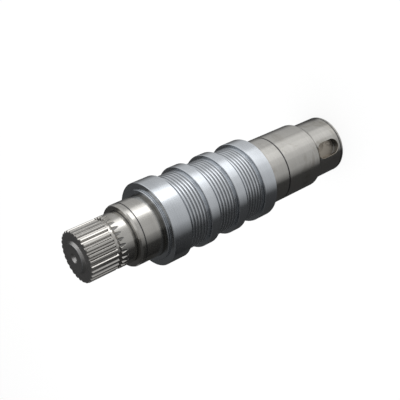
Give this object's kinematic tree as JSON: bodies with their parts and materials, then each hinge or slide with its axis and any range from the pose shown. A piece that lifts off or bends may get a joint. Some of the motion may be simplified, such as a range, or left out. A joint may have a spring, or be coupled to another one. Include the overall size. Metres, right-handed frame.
{
  "type": "gear shaft",
  "caption": "Stepped steel drive shaft with a splined end, bearing journals, wide collars with grooved waists between them, and a keyed tail.",
  "frame": {"origin": "centre of the tail's end face, on the shaft's axis", "axes": "+Z along the shaft's axis towards the splined end, -Y out of the keyway"},
  "size_m": [0.099, 0.099, 0.3842],
  "materials": {
    "ground_steel": "turned and ground, bright"
  },
  "bodies": {
    "root": {"gear_shaft": "ground_steel"}
  },
  "joints": []
}
